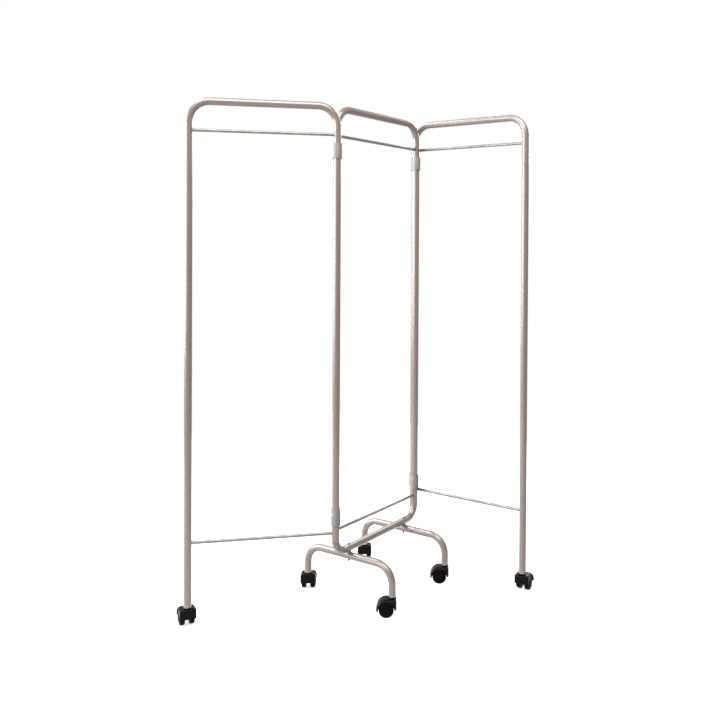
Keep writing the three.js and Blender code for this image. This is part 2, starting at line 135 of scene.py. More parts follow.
# Castor wheels
WHEEL_RADIUS = 25.0
WHEEL_GAP = 15.5
RIM_WIDTH = 15.5
WHEEL_EDGE = 3.0
DISC_RADIUS = 21.5
DISC_RECESS = 0.8
DISC_EDGE = 0.5
DOME_HEIGHT = 4.2
DOME_POWER = 0.8
HUB_DEPTH = 11.5
AXLE_RADIUS = 4.0
AXLE_END_GAP = 0.6
AXLE_CHAMFER = 0.5
CASTOR_TRAIL = 19.5

# Castor hoods and stems
HOOD_RADIUS = 34.0
HOOD_LIP_RADIUS = 28.0
HOOD_HALF_WIDTH = 26.5
HOOD_CROWN_HALF_WIDTH = 13.0
HOOD_FRONT = 15.0
HOOD_FRONT_ROUND = 8.0
HOOD_FRONT_HEIGHT = 26.5
HOOD_REAR_HEIGHT = 22.5
HOOD_EDGE = 0.5
HOOD_FOOT_GAP = 4.0
WHEEL_CLEARANCE = 1.7
WEB_CLEARANCE = 0.5
WEB_CORE_RADIUS = 0.5
AXLE_BOSS_RADIUS = 8.5
AXLE_BOSS_STEP = 0.2
BOWL_RADIUS = 12.5
BOWL_FLOOR_RADIUS = 9.0
BOWL_DEPTH = 9.0
BOWL_LIP = 0.7
BOWL_FLOOR_EASE = 1.0
BOWL_BORDER = 3.0
STEM_RADIUS = 5.0
STEM_FOOT = 29.0
STEM_EASE = 0.4
SOCKET_FLANGE_RADIUS = 12.0
SOCKET_FLANGE = 1.4
SOCKET_DEPTH = 28.0
SOCKET_CLEARANCE = 0.5
PLUG_DEPTH = 18.0
PLUG_FLANGE = 1.4
PLUG_EASE = 0.7
FIT_GAP = 0.3

# Sizes that follow from them
FOOT_HEIGHT = WHEEL_RADIUS + HOOD_RADIUS + HOOD_FOOT_GAP
TOP_BAR_HEIGHT = SCREEN_HEIGHT - TUBE_RADIUS
TOP_ROD_HEIGHT = TOP_BAR_HEIGHT - ROD_TOP_DROP
LEG_BAR_HEIGHT = LOW_BAR_HEIGHT - 2 * TUBE_RADIUS - SADDLE_THICKNESS
LEG_BEND = LEG_BAR_HEIGHT - FOOT_HEIGHT - LEG_FOOT_RUN
BORE_RADIUS = TUBE_RADIUS - TUBE_WALL
HALF_SPAN = PANEL_SPAN / 2
LEG_INSET = LEG_SPREAD / 2
FOOT_INSET = LEG_LENGTH / 2
WHEEL_INSIDE = WHEEL_GAP / 2
WHEEL_OUTSIDE = WHEEL_INSIDE + RIM_WIDTH
WEB_HALF_WIDTH = WHEEL_INSIDE - WEB_CLEARANCE
CAVITY_RADIUS = WHEEL_RADIUS + WHEEL_CLEARANCE
HOOD_TOP = WHEEL_RADIUS + HOOD_RADIUS
HOOD_DROP = HOOD_RADIUS - HOOD_LIP_RADIUS
HOOD_SHOULDER = HOOD_HALF_WIDTH - HOOD_CROWN_HALF_WIDTH
HOOD_REAR_ANGLE = math.asin((HOOD_REAR_HEIGHT - WHEEL_RADIUS) / HOOD_RADIUS)
HOOD_ARC = (QUARTER_TURN - HOOD_REAR_ANGLE) * HOOD_RADIUS
HOOD_LEVEL = CASTOR_TRAIL + HOOD_FRONT - HOOD_FRONT_ROUND
HOOD_CORNER = QUARTER_TURN * HOOD_FRONT_ROUND
HOOD_WALL = HOOD_TOP - HOOD_FRONT_ROUND - HOOD_FRONT_HEIGHT

# How finely the surfaces are divided
WELD_DISTANCE = 0.001
TUBE_SIDES = 48
BEND_STEPS = 24
HOLE_ROWS = 4
HOLE_COLUMNS = 12
RAY_STEPS = 4
ROD_SIDES = 32
SLEEVE_SIDES = 144
FASTENER_SIDES = 48
WHEEL_SIDES = 96
EDGE_STEPS = 5
DOME_STEPS = 12
HOOD_ARC_STEPS = 36
HOOD_BORDER_STEPS = 2
HOOD_BLOCK_STEPS = 20
HOOD_WALL_STEPS = 10
HOOD_CROWN_STEPS = 12
HOOD_SHOULDER_STEPS = 12
HOOD_BLOCK_INSET = 4
SHARP_ANGLE = 38.0

# The photograph's view: the camera's place from the centre panel's middle, and the picture's own shift
CAMERA_PLACE = (-2375.2, -1756.6, 1233.3)
CAMERA_TURN = 33.336
CAMERA_LEAN = 0.718
CAMERA_ROLL = 0.34
CAMERA_LENS = 41.02
CAMERA_SHIFT = (-0.0889, -0.1466)
SENSOR_WIDTH = 36.0

# The finishes' darkest and lightest colours
PAINT_FLECK = ((0.146, 0.097, 0.071), (0.184, 0.125, 0.094))
PAINT_TONE = ((0.154, 0.102, 0.075), (0.174, 0.117, 0.087))
PAINT_AT_FOOT = ((0.17, 0.125, 0.095), (0.21, 0.158, 0.124))
ROD_STEEL = ((0.16, 0.130, 0.104), (0.22, 0.184, 0.152))
BLOCK_NYLON = ((0.195, 0.155, 0.128), (0.24, 0.195, 0.163))
ZINC_PLATE = ((0.38, 0.37, 0.36), (0.52, 0.51, 0.49))
# Dark steel for the castor stems, leg bolts and nuts: partly their own dark colour, partly painted shade for
# the shadow the stems and nuts sit in, under the sockets and the legs.
DARK_STEEL_AND_SHADE = ((0.045, 0.040, 0.037), (0.075, 0.068, 0.063))
PLUG_NYLON = ((0.010, 0.009, 0.009), (0.018, 0.016, 0.016))
HOOD_NYLON = ((0.0022, 0.0009, 0.0006), (0.0042, 0.0019, 0.0014))
WHEEL_NYLON = ((0.0026, 0.0011, 0.0008), (0.0048, 0.0022, 0.0016))

# The depths of the finishes' bumps
PAINT_PEEL = 0.008
ROD_MARKS = 0.003
BLOCK_GRAIN = 0.04
TURNING_MARKS = 0.01
PLUG_GRAIN = 0.03
HOOD_GRAIN = 0.012
WHEEL_GRAIN = 0.03

# Lamps, with places and sizes in metres and power in watts
LAMPS = {
    "left_window": {"place": (-3.3, 1.4, 1.7), "size": (1.8, 2.5), "power": 135.0},
    "far_left_window": {"place": (-1.5, 3.3, 1.7), "size": (1.9, 2.5), "power": 205.0},
    "rear_panel": {"place": (3.8, 0.3, 2.7), "size": (2.6, 1.8), "power": 115.0},
    "far_ceiling_lamp": {"place": (-0.8, 2.5, 3.6), "size": (2.2, 2.2), "power": 200.0},
    "ceiling_lamp": {"place": (-1.3, -0.9, 3.5), "size": (2.8, 2.4), "power": 210.0},
}
LAMP_TARGET = (0.0, 0.0, 0.9)
LAMP_TINT = (0.80, 0.91, 1.0)

# The surround and the floor
SURROUND_LIGHT = 0.06
FLOOR_GLOW = 0.76
FLOOR_GREY = (0.42, 0.44)
WHITE = (1, 1, 1, 1)
FLOOR_REACH = 2400.0
FLOOR_STEPS = 24


# Places and plain shapes
def along(turn):
    """The unit vector in the plan at `turn` degrees from +X."""
    angle = math.radians(turn)
    return np.array([math.cos(angle), math.sin(angle), 0.0])


def at(x, y, z=0.0):
    """A place as an array."""
    return np.array([x, y, z], float)


def placed(shape, turn, origin):
    """A shape turned about +Z by `turn` degrees, then moved to `origin`."""
    points, faces = shape
    cosine, sine, _ = along(turn)
    spin = np.array([[cosine, sine, 0.0], [-sine, cosine, 0.0], [0.0, 0.0, 1.0]])
    return points @ spin + origin, faces


def lying_along_x(shape):
    """A shape about +Z turned to lie about +X."""
    points, faces = shape
    return np.stack([points[:, 2], points[:, 1], -points[:, 0]], -1), faces


def flipped(faces):
    """The same faces, turned to look the other way."""
    return [group[:, ::-1] for group in faces]


def combined(*shapes):
    """Several shapes as one."""
    firsts = np.cumsum([0] + [len(points) for points, _ in shapes])
    faces = [group + first for (_, groups), first in zip(shapes, firsts) for group in groups]
    return np.concatenate([points for points, _ in shapes]), faces


def grid_faces(rows, columns, closed_rows=False, closed_columns=True):
    """Quads between the neighbours of a grid whose points are numbered row by row."""
    row = np.arange(rows if closed_rows else rows - 1)
    column = np.arange(columns if closed_columns else columns - 1)
    row, column = (numbers.reshape(-1) for numbers in np.meshgrid(row, column, indexing="ij"))
    next_row, next_column = (row + 1) % rows, (column + 1) % columns
    return np.stack([row * columns + column, row * columns + next_column,
                     next_row * columns + next_column, next_row * columns + column], -1)


def block_border(first, last, left, right):
    """The grid points round a block of a grid, once about, as (row, column) pairs."""
    rows, columns = np.arange(first, last), np.arange(left, right)
    return np.concatenate([
        np.stack([np.full_like(columns, first), columns], -1),
        np.stack([rows, np.full_like(rows, right)], -1),
        np.stack([np.full_like(columns, last), columns[::-1] + 1], -1),
        np.stack([rows[::-1] + 1, np.full_like(rows, left)], -1),
    ])


def rayed(start, end, steps):
    """Rows of points that go in even steps straight from each point of `start` to its point of `end`."""
    share = np.linspace(0, 1, steps + 1)[:, None, None]
    return (1 - share) * start + share * end


def ring_rows(angles, profile):
    """Rings about +Z, one for each (radius, height) pair. Either may be an array over the angles."""
    rings = [np.stack([radius * np.cos(angles), radius * np.sin(angles), height + np.zeros_like(angles)], -1)
             for radius, height in profile]
    return np.concatenate(rings)


def revolve(profile, sides, closed=False):
    """A profile of (radius, height) pairs turned about +Z. A radius may be a function of the angle."""
    angles = np.arange(sides) * FULL_TURN / sides
    rows = [(radius(angles) if callable(radius) else radius, height) for radius, height in profile]
    return ring_rows(angles, rows), [grid_faces(len(rows), sides, closed_rows=closed)]


def arc(centre, radius, start, end):
    """Points of an arc about `centre` from `start` to `end` quarter turns."""
    angles = np.linspace(start, end, EDGE_STEPS + 1) * QUARTER_TURN
    return [(centre[0] + radius * math.cos(angle), centre[1] + radius * math.sin(angle)) for angle in angles]


def ray_reach(distance, lean):
    """How far rays run to a flat side: its distance over the cosine they lean towards it by, or for ever."""
    towards = lean > 0
    return np.where(towards, distance / np.where(towards, lean, 1), np.inf)


def from_nearest(angles, sector):
    """Each angle's distance from the nearest multiple of `sector`."""
    return np.abs((angles + sector / 2) % sector - sector / 2)


def polygon_radius(half_width, sides):
    """The radius at each angle of a regular polygon, from the flat that the ray leans towards most."""
    return lambda angles: ray_reach(half_width, np.cos(from_nearest(angles, FULL_TURN / sides)))


def cross_radius(half_width, reach):
    """The radius at each angle of a cross: the nearer of an arm's side and its end."""
    def radius(angles):
        off_arm = from_nearest(angles, QUARTER_TURN)
        return np.minimum(ray_reach(half_width, np.sin(off_arm)), ray_reach(reach, np.cos(off_arm)))
    return radius


def make_piece(name, shape, body, materials, node, painted=None):
    """A named piece from a shape in the shared frame, which rides on `body` and stands for the solid `node`.

    `painted` gives each face's material number from the heights of the faces' middles.
    """
    points, faces = shape
    mesh = bpy.data.meshes.new(name)
    mesh.from_pydata((points * METRES).tolist(), [], [face for group in faces for face in group.tolist()])
    skin = bmesh.new()
    skin.from_mesh(mesh)
    bmesh.ops.remove_doubles(skin, verts=skin.verts, dist=WELD_DISTANCE * METRES)
    skin.to_mesh(mesh)
    skin.free()
    mesh.shade_smooth()
    mesh.set_sharp_from_angle(angle=math.radians(SHARP_ANGLE))
    for material in materials:
        mesh.materials.append(material)
    if painted is not None:
        middles = np.empty(len(mesh.polygons) * 3)
        mesh.polygons.foreach_get("center", middles)
        numbers = painted(middles.reshape(-1, 3)[:, 2] / METRES).astype(np.int32)
        mesh.polygons.foreach_set("material_index", numbers)
    made = bpy.data.objects.new(name, mesh)
    bpy.context.scene.collection.objects.link(made)
    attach(made, body)
    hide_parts(node)


# Tubes and rods
def bend_stations(corner, arriving, leaving, radius):
    """(point, tangent) pairs round a square bend: a quarter circle that touches both runs."""
    centre = corner + (leaving - arriving) * radius
    angles = np.linspace(0, QUARTER_TURN, BEND_STEPS + 1)
    return [(centre + radius * (math.sin(angle) * arriving - math.cos(angle) * leaving),
             math.cos(angle) * arriving + math.sin(angle) * leaving) for angle in angles]


def route(corners, bends, closed=False, drilled=None):
    """Stations of a tube's axis in the plane y = 0, and each rod hole's (first station, height).

    The run that leaves a drilled corner gets evenly spaced stations across each of its holes.
    """
    corners = [at(x, 0, z) for x, z in corners]
    count = len(corners)
    stations, holes = [], []
    for number, corner in enumerate(corners):
        arriving = corner - corners[number - 1]
        leaving = corners[(number + 1) % count] - corner
        arriving, leaving = arriving / np.linalg.norm(arriving), leaving / np.linalg.norm(leaving)
        if closed or 0 < number < count - 1:
            stations += bend_stations(corner, arriving, leaving, bends[number])
        else:
            stations.append((corner, leaving if number == 0 else arriving))
        for height in (drilled or {}).get(number, ()):
            holes.append((len(stations), height))
            rises = np.linspace(-ROD_HOLE_REACH, ROD_HOLE_REACH, HOLE_ROWS + 1) * leaving[2]
            stations += [(at(corner[0], 0, height + rise), leaving) for rise in rises]
    return stations, holes


def hole_patch(post, height, side, across, tangent, radius):
    """Points on the tube's round from a hole's rim to its block's border, along rays of the unrolled tube.

    The drill's circle meets the tube where the angle round the tube has the circle's place across, over the
    tube's radius, as its sine.
    """
    block = block_border(0, HOLE_ROWS, -HOLE_COLUMNS, HOLE_COLUMNS)
    border = np.stack([block[:, 1] * FULL_TURN / TUBE_SIDES * radius,
                       (block[:, 0] / HOLE_ROWS * 2 - 1) * ROD_HOLE_REACH], -1)
    facing = np.arctan2(border[:, 1], border[:, 0])
    drill = ROD_RADIUS + ROD_HOLE_PLAY
    rim = np.stack([np.arcsin(drill * np.cos(facing) / radius) * radius, drill * np.sin(facing)], -1)
    flat = rayed(rim, border, RAY_STEPS).reshape(-1, 2)
    turned = flat[:, 0] / radius
    round_tube = radius * (np.outer(np.cos(turned), side) + np.outer(np.sin(turned), across))
    return at(post[0], 0, height) + round_tube + np.outer(flat[:, 1], tangent)


def tube_skin(stations, holes, radius, closed):
    """A circle carried square to the stations, with a patch round each hole. Also returns the holes' rims."""
    angles = np.arange(TUBE_SIDES) * FULL_TURN / TUBE_SIDES
    across = at(0, 1)
    sides = [np.cross(across, tangent) for _, tangent in stations]
    rings = [point + radius * (np.outer(np.cos(angles), side) + np.outer(np.sin(angles), across))
             for (point, _), side in zip(stations, sides)]
    faces = grid_faces(len(stations), TUBE_SIDES, closed_rows=closed)
    row, column = np.arange(len(faces)) // TUBE_SIDES, np.arange(len(faces)) % TUBE_SIDES
    beside = (column < HOLE_COLUMNS) | (column >= TUBE_SIDES - HOLE_COLUMNS)
    kept = np.ones(len(faces), bool)
    for first, _ in holes:
        kept &= ~(beside & (row >= first) & (row < first + HOLE_ROWS))
    patches = [hole_patch(stations[first][0], height, sides[first], across, stations[first][1], radius)
               for first, height in holes]
    border = len(block_border(0, HOLE_ROWS, -HOLE_COLUMNS, HOLE_COLUMNS))
    firsts = len(rings) * TUBE_SIDES + np.arange(len(holes)) * (RAY_STEPS + 1) * border
    patch_faces = [grid_faces(RAY_STEPS + 1, border) + first for first in firsts]
    rims = [np.arange(border) + first for first in firsts]
    return np.concatenate(rings + patches), [faces[kept], *flipped(patch_faces)], rims


def edge_faces(edge, step):
    """Quads between an edge loop of the outer skin and the inner one's, which is numbered `step` later."""
    after = np.roll(edge, -1)
    return np.stack([edge, after, after + step, edge + step], -1)


def tube(stations, holes, closed=False):
    """A tube with a real bore: an outer and an inner skin, joined at each hole's rim and at each open end."""
    outer, faces, rims = tube_skin(stations, holes, TUBE_RADIUS, closed)
    inner, _, _ = tube_skin(stations, holes, BORE_RADIUS, closed)
    walls = [edge_faces(rim, len(outer)) for rim in rims]
    if not closed:
        start = np.arange(TUBE_SIDES)
        end = start + (len(stations) - 1) * TUBE_SIDES
        walls += [edge_faces(start, len(outer))[:, ::-1], edge_faces(end, len(outer))]
    inside = [group + len(outer) for group in flipped(faces)]
    return np.concatenate([outer, inner]), [*faces, *inside, *walls]


def drilled_posts(low_rod):
    """The hole heights of a loop whose first run goes up a post and whose third comes down the other."""
    heights = [low_rod + ROD_HOLE_PLAY, TOP_ROD_HEIGHT + ROD_HOLE_PLAY]
    return {0: heights, 2: heights[::-1]}


def centre_tube():
    """The closed loop of the centre panel, drilled for its two rods."""
    corners = [(-HALF_SPAN, LOW_BAR_HEIGHT), (-HALF_SPAN, TOP_BAR_HEIGHT),
               (HALF_SPAN, TOP_BAR_HEIGHT), (HALF_SPAN, LOW_BAR_HEIGHT)]
    bends = [LOW_BEND, TOP_BEND, TOP_BEND, LOW_BEND]
    return tube(*route(corners, bends, True, drilled_posts(CENTRE_LOW_ROD)), closed=True)


def wing_tube(post_foot, low_rod):
    """A wing's loop from its inner post at x = 0 to its outer post, drilled for its two rods."""
    corners = [(0, post_foot), (0, TOP_BAR_HEIGHT), (PANEL_SPAN, TOP_BAR_HEIGHT), (PANEL_SPAN, FOOT_HEIGHT)]
    return tube(*route(corners, [0, TOP_BEND, TOP_BEND, 0], False, drilled_posts(low_rod)))


def leg_tube():
    """One leg, in the plane y = 0."""
    corners = [(-FOOT_INSET, FOOT_HEIGHT), (-FOOT_INSET, LEG_BAR_HEIGHT),
               (FOOT_INSET, LEG_BAR_HEIGHT), (FOOT_INSET, FOOT_HEIGHT)]
    return tube(*route(corners, [0, LEG_BEND, LEG_BEND, 0]))


def rod(from_x, to_x, height):
    """A rod along +X between two posts: a circle carried along it, drawn in at each end."""
    start, end = from_x + ROD_END_INSET, to_x - ROD_END_INSET
    inner = ROD_RADIUS - ROD_END_EASE
    profile = [(0, start), *arc((inner, start + ROD_END_EASE), ROD_END_EASE, -1, 0),
               *arc((inner, end - ROD_END_EASE), ROD_END_EASE, 0, 1), (0, end)]
    return placed(lying_along_x(revolve(profile, ROD_SIDES)), 0, at(0, 0, height))


# Hinge blocks and fasteners
def sleeve_outside(angles, inset):
    """A half block's outside at each angle, drawn in by `inset`.

    It is the sleeve's circle or, towards the other post, the web's side, and stops at the plane midway.
    """
    facing = np.cos(angles)
    web = np.where(facing > 0, ray_reach(BLOCK_WEB_WIDTH / 2 - inset, np.abs(np.sin(angles))), 0)
    return np.minimum(np.maximum(SLEEVE_RADIUS - inset, web), ray_reach(HINGE_SPACING / 2, facing))


def half_block():
    """One sleeve about +Z and its half of the web. Its rows go down the bore, under, up outside and over."""
    angles = np.arange(SLEEVE_SIDES) * FULL_TURN / SLEEVE_SIDES
    top = BLOCK_HEIGHT / 2
    bore = TUBE_RADIUS + FIT_GAP
    edge = arc((BLOCK_EDGE, BLOCK_EDGE), BLOCK_EDGE, 2, 3)
    rows = [(bore, top - BLOCK_BORE_EASE), (bore, BLOCK_BORE_EASE - top), (bore + BLOCK_BORE_EASE, -top)]
    rows += [(sleeve_outside(angles, inset), rise - top) for inset, rise in reversed(edge)]
    rows += [(sleeve_outside(angles, inset), top - rise) for inset, rise in edge]
    rows += [(bore + BLOCK_BORE_EASE, top)]
    points = ring_rows(angles, rows)
    faces = grid_faces(len(rows), SLEEVE_SIDES, closed_rows=True)
    midway = np.abs(points[:, 0] - HINGE_SPACING / 2) < WELD_DISTANCE
    return points, [faces[~midway[faces].all(axis=1)]]


def hinge_block():
    """A double sleeve about the height 0: a half round the centre post and its mirror image on the wing's."""
    points, faces = half_block()
    return combined((points, faces), (at(HINGE_SPACING, 0) + points * [-1, 1, 1], flipped(faces)))


def threaded(radius, start, end):
    """(radius, height) pairs of a thread's crests and roots between two heights."""
    turns = int((end - start) / THREAD_PITCH)
    heights = np.linspace(start, end, 2 * turns + 1)
    return [(radius - THREAD_DEPTH * (number % 2), height) for number, height in enumerate(heights)]


def headed_screw(shank, seat, head_radius, head_height, recess):
    """A screw along +Z: shank, flat underside, straight rim, crowned head and a recess of a given outline.

    The crown is the first part of a quarter ellipse, so that its top is flat where the recess begins.
    """
    rim = seat + head_height * HEAD_RIM_SHARE
    crown = [(head_radius * across, rim + (seat + head_height - rim) * rise)
             for across, rise in arc((0, 0), 1, 0, HEAD_CROWN_SHARE)]
    top = crown[-1][1]
    floor = seat + head_height * RECESS_FLOOR_SHARE
    profile = [*shank, (head_radius, seat), *crown, (recess, top), (recess, floor), (0, floor)]
    return revolve(profile, FASTENER_SIDES)


def leg_bolt():
    """The bolt down through the low bar, the spacer and the leg, with a hexagonal socket in its head."""
    seat = LOW_BAR_HEIGHT + TUBE_RADIUS + FIT_GAP
    nut_foot = LEG_BAR_HEIGHT - TUBE_RADIUS - FIT_GAP - NUT_HEIGHT
    tip = nut_foot - BOLT_TAIL
    shank = [(0, tip), *threaded(BOLT_RADIUS, tip, nut_foot), (BOLT_RADIUS, seat)]
    socket = polygon_radius(BOLT_SOCKET_HALF_WIDTH, HEXAGON_SIDES)
    return headed_screw(shank, seat, BOLT_HEAD_RADIUS, BOLT_HEAD_HEIGHT, socket)


def leg_nut():
    """A hexagonal nut whose corners are turned away above and below, where a circle cuts across them."""
    top = LEG_BAR_HEIGHT - TUBE_RADIUS - FIT_GAP
    foot = top - NUT_HEIGHT
    half_width = NUT_RADIUS * math.cos(FULL_TURN / HEXAGON_SIDES / 2)
    hexagon = polygon_radius(half_width, HEXAGON_SIDES)
    inside = BOLT_RADIUS + FIT_GAP
    profile = [(inside, foot), (half_width, foot), (hexagon, foot + NUT_CHAMFER),
               (hexagon, top - NUT_CHAMFER), (half_width, top), (inside, top)]
    return revolve(profile, FASTENER_SIDES, closed=True)


def saddle():
    """The spacer between low bar and leg: its foot is the leg's round along Y, its top the bar's along X.

    Each round's height differs from its tube's axis by the root of the seat's square less the place's.
    """
    angles = np.arange(FASTENER_SIDES) * FULL_TURN / FASTENER_SIDES
    seat = TUBE_RADIUS + FIT_GAP
    middle = (LOW_BAR_HEIGHT + LEG_BAR_HEIGHT) / 2
    radii = np.linspace(BOLT_RADIUS + FIT_GAP, SADDLE_RADIUS, EDGE_STEPS + 1)
    over_leg = LEG_BAR_HEIGHT + np.sqrt(seat**2 - np.outer(radii, np.cos(angles)) ** 2)
    under_bar = LOW_BAR_HEIGHT - np.sqrt(seat**2 - np.outer(radii, np.sin(angles)) ** 2)
    feet = zip(radii, np.maximum(over_leg, middle - SADDLE_HEIGHT / 2))
    tops = zip(radii[::-1], np.minimum(under_bar, middle + SADDLE_HEIGHT / 2)[::-1])
    rows = [*feet, *tops]
    return ring_rows(angles, rows), [grid_faces(len(rows), FASTENER_SIDES, closed_rows=True)]


def post_plug(post_foot):
    """The cap in a wing post's lower end: a flange with an eased edge, and a plug up the bore."""
    top = post_foot - FIT_GAP
    foot = top - PLUG_FLANGE
    inside = BORE_RADIUS - FIT_GAP
    tip = post_foot + PLUG_DEPTH
    profile = [(0, foot), *arc((TUBE_RADIUS - PLUG_EASE, foot + PLUG_EASE), PLUG_EASE, -1, 0),
               (TUBE_RADIUS, top), (inside, top), (inside, tip), (0, tip)]
    return revolve(profile, TUBE_SIDES)


def block_screw():
    """A block's cross-headed screw, along +X from the wing post's axis."""
    seat = SLEEVE_RADIUS + FIT_GAP
    tip = BORE_RADIUS - SCREW_REACH
    shank = [(0, tip), *threaded(SCREW_RADIUS, tip, BORE_RADIUS), (SCREW_RADIUS, seat)]
    recess = cross_radius(SCREW_CROSS_HALF_WIDTH, SCREW_CROSS_REACH)
    return lying_along_x(headed_screw(shank, seat, SCREW_HEAD_RADIUS, SCREW_HEAD_HEIGHT, recess))


# Castors, with the stem's axis on +Z and the axle trailing towards +X
def castor_stem():
    """The steel stem, and the plastic socket that holds it in the tube."""
    top = FOOT_HEIGHT - FIT_GAP
    foot = top - SOCKET_FLANGE
    inside = BORE_RADIUS - FIT_GAP
    flange = SOCKET_FLANGE_RADIUS - STEM_EASE
    profile = [(0, STEM_FOOT), *arc((STEM_RADIUS - STEM_EASE, STEM_FOOT + STEM_EASE), STEM_EASE, -1, 0),
               (STEM_RADIUS, foot), *arc((flange, foot + STEM_EASE), STEM_EASE, -1, 0),
               (SOCKET_FLANGE_RADIUS, top), (inside, top),
               (inside, FOOT_HEIGHT + SOCKET_DEPTH), (0, FOOT_HEIGHT + SOCKET_DEPTH)]
    return revolve(profile, FASTENER_SIDES)


def on_axle(shape):
    """A shape about +Z laid about +Y, at the axle's place."""
    points, faces = shape
    return np.stack([points[:, 0] + CASTOR_TRAIL, points[:, 2], WHEEL_RADIUS - points[:, 1]], -1), faces


def castor_wheel(side):
    """A wheel: a rounded tread, a fine chamfered ring, a recessed domed disc, and a blind bore inside.

    The dome's rise over the recess is one less the square of the share of its radius, to a power. The wheel
    of side -1 is the mirror image of the other.
    """
    bore = AXLE_RADIUS + FIT_GAP
    edge = WHEEL_RADIUS - WHEEL_EDGE
    recess = WHEEL_OUTSIDE - DISC_RECESS
    rise = DISC_RECESS + DOME_HEIGHT
    shares = np.linspace(1, 0, DOME_STEPS + 1)[1:]
    dome = [(DISC_RADIUS * share, recess + rise * (1 - share**2) ** DOME_POWER) for share in shares]
    profile = [(0, WHEEL_INSIDE + HUB_DEPTH), (bore, WHEEL_INSIDE + HUB_DEPTH), (bore, WHEEL_INSIDE),
               *arc((edge, WHEEL_INSIDE + WHEEL_EDGE), WHEEL_EDGE, -1, 0),
               *arc((edge, WHEEL_OUTSIDE - WHEEL_EDGE), WHEEL_EDGE, 0, 1),
               (DISC_RADIUS, WHEEL_OUTSIDE), (DISC_RADIUS - DISC_EDGE, recess), *dome]
    points, faces = revolve(profile, WHEEL_SIDES)
    if side < 0:
        points, faces = points * [1, 1, -1], flipped(faces)
    return on_axle((points, faces))


def castor_axle():
    """The steel pin through the hood's web into both wheels, with chamfered ends."""
    end = WHEEL_INSIDE + HUB_DEPTH - AXLE_END_GAP
    inner = AXLE_RADIUS - AXLE_CHAMFER
    profile = [(0, -end), (inner, -end), (AXLE_RADIUS, AXLE_CHAMFER - end),
               (AXLE_RADIUS, end - AXLE_CHAMFER), (inner, end), (0, end)]
    return on_axle(revolve(profile, FASTENER_SIDES))


def hood_path(length):
    """The hood's outline in its middle plane, as places and outward directions at lengths from its rear edge.

    It is an arc about the axle up to the crown, a level run forward, a quarter circle and the front wall.
    """
    past_level = length > HOOD_ARC + HOOD_LEVEL
    level = np.clip(length - HOOD_ARC, 0, HOOD_LEVEL)
    corner = np.clip(length - HOOD_ARC - HOOD_LEVEL, 0, HOOD_CORNER)
    wall = np.clip(length - HOOD_ARC - HOOD_LEVEL - HOOD_CORNER, 0, None)
    angle = HOOD_REAR_ANGLE + np.clip(length, 0, HOOD_ARC) / HOOD_RADIUS + corner / HOOD_FRONT_ROUND
    radius = np.where(past_level, HOOD_FRONT_ROUND, HOOD_RADIUS)
    centre_z = np.where(past_level, HOOD_TOP - HOOD_FRONT_ROUND, WHEEL_RADIUS) - wall
    out = np.stack([np.cos(angle), np.sin(angle)], -1)
    return np.stack([CASTOR_TRAIL - level, centre_z], -1) + radius[..., None] * out, out


def hood_surface(length, across):
    """The hood's outside: the path's place, drawn in by a quarter ellipse past the crown's width."""
    past = np.clip(np.abs(across) - HOOD_CROWN_HALF_WIDTH, 0, None) / HOOD_SHOULDER * QUARTER_TURN
    width = np.minimum(np.abs(across), HOOD_CROWN_HALF_WIDTH) + HOOD_SHOULDER * np.sin(past)
    place, out = hood_path(length)
    side = place - (HOOD_DROP * (1 - np.cos(past)))[..., None] * out
    return np.stack([side[..., 0], np.sign(across) * width, side[..., 1]], -1)


def joined_spans(places, steps):
    """Evenly spaced numbers across each span between neighbouring places, and the last place."""
    spans = [np.linspace(start, end, count, endpoint=False)
             for start, end, count in zip(places, places[1:], steps)]
    return np.concatenate([*spans, places[-1:]])


def hood_rows():
    """The lengths along the path that the hood's rows stand at."""
    block = HOOD_ARC + HOOD_LEVEL + HOOD_CORNER
    places = [0, HOOD_ARC, HOOD_ARC + BOWL_BORDER, block, block + HOOD_WALL]
    return joined_spans(places, [HOOD_ARC_STEPS, HOOD_BORDER_STEPS, HOOD_BLOCK_STEPS, HOOD_WALL_STEPS])


def hood_columns():
    """The places across that the hood's columns stand at."""
    places = [-HOOD_HALF_WIDTH, -HOOD_CROWN_HALF_WIDTH, HOOD_CROWN_HALF_WIDTH, HOOD_HALF_WIDTH]
    return joined_spans(places, [HOOD_SHOULDER_STEPS, HOOD_CROWN_STEPS, HOOD_SHOULDER_STEPS])


def hood_inside(rows):
    """The hood's inner points on each row's ray from the axle: wheel spaces' roofs and the web's sides."""
    axle = np.array([CASTOR_TRAIL, WHEEL_RADIUS])
    ray = hood_path(rows)[0] - axle
    ray = ray / np.linalg.norm(ray, axis=1)[:, None]
    half = [(HOOD_HALF_WIDTH - HOOD_EDGE, CAVITY_RADIUS), (WEB_HALF_WIDTH, CAVITY_RADIUS),
            (WEB_HALF_WIDTH, WEB_CORE_RADIUS)]
    corners = half + [(-width, radius) for width, radius in reversed(half)]
    return np.stack([
        np.stack([axle[0] + radius * ray[:, 0], np.full(len(rows), width), axle[1] + radius * ray[:, 1]], -1)
        for width, radius in corners], 1)


